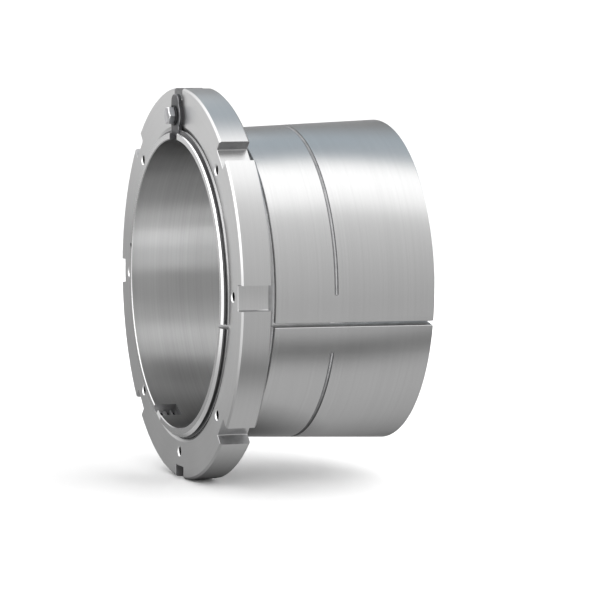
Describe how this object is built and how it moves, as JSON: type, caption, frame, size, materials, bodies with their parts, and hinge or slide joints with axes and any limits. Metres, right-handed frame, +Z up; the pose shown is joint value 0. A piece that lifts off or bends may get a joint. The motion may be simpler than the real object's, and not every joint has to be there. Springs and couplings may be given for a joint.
{
  "type": "bearing adapter sleeve",
  "caption": "Slotted, externally tapered sleeve that seats a bearing on a plain shaft, with an oil groove, a slotted lock nut on its threaded end and a bolted locking clip.",
  "frame": {"origin": "on the bore's axis, in the plane of the lock nut's front face", "axes": "+X along the axis from the lock nut towards the sleeve's big end, +Z up through the locking clip, -Y towards the side that the picture shows"},
  "size_m": [0.2167, 0.3792, 0.3792],
  "materials": {
    "sleeve_steel": "fine turned and ground",
    "nut_steel": "fine turned",
    "clip_steel": "dark phosphate coated",
    "washer_steel": "dark oxide coated",
    "screw_steel": "zinc plated"
  },
  "bodies": {
    "root": {"sleeve": "sleeve_steel", "lock_nut": "nut_steel", "locking_clip": "clip_steel", "spring_washer": "washer_steel", "clip_screw": "screw_steel"}
  },
  "joints": []
}
